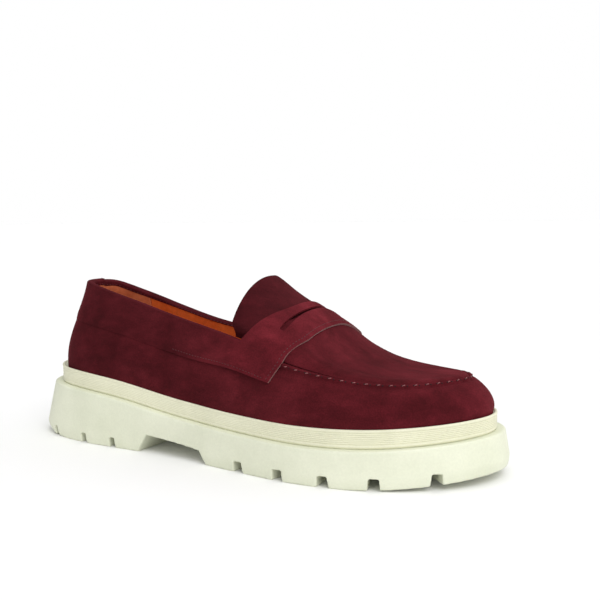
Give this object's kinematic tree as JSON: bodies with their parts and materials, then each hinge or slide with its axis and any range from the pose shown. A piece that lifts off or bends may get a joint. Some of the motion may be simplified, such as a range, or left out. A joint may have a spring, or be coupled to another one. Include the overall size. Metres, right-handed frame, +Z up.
{
  "type": "penny loafer",
  "caption": "Right-foot penny loafer in napped leather with a slotted saddle strap over the instep and a thick lugged unit sole.",
  "frame": {"origin": "bottom centre of the shoe's bounding box, on the ground under the tread", "axes": "+X from heel to toe, +Y to the medial side of this right shoe, +Z up from the ground"},
  "size_m": [0.3112, 0.1108, 0.1046],
  "materials": {
    "suede": "napped burgundy suede, matt, mottled by the lie of the nap",
    "lining_leather": "smooth orange-tan leather, low sheen",
    "heel_grip_suede": "napped tan leather",
    "sole_rubber": "moulded cream rubber, satin",
    "cork_filler": "ground cork",
    "shank_steel": "plain steel strip",
    "fibre_board": "pressed fibre board",
    "foam": "open-cell foam",
    "textile_lining": "woven lining cloth",
    "stiffener": "thermoplastic-coated stiffener sheet",
    "thread": "waxed polyester thread"
  },
  "bodies": {
    "shoe": {"outsole": "sole_rubber", "midsole_welt": "sole_rubber", "bottom_filler": "cork_filler", "shank": "shank_steel", "insole_board": "fibre_board", "footbed_foam": "foam", "sock_lining": "lining_leather", "vamp": "suede", "apron": "suede", "saddle_strap": "suede", "quarter_lining_lateral": "lining_leather", "quarter_lining_medial": "lining_leather", "heel_grip": "heel_grip_suede", "vamp_lining": "textile_lining", "heel_counter": "stiffener", "collar_foam": "foam", "toe_puff": "stiffener", "moc_seam_thread": "thread", "saddle_thread": "thread"},
    "tongue": {"tongue": "suede", "tongue_lining": "lining_leather"}
  },
  "joints": [
    {"name": "tongue_hinge", "type": "hinge", "parent": "shoe", "child": "tongue", "pos_m": [0.03644, 0.00342, 0.09], "axis": [0, 1, 0], "range_deg": [0, 30], "stiffness_Nm_per_rad": 0.05}
  ]
}
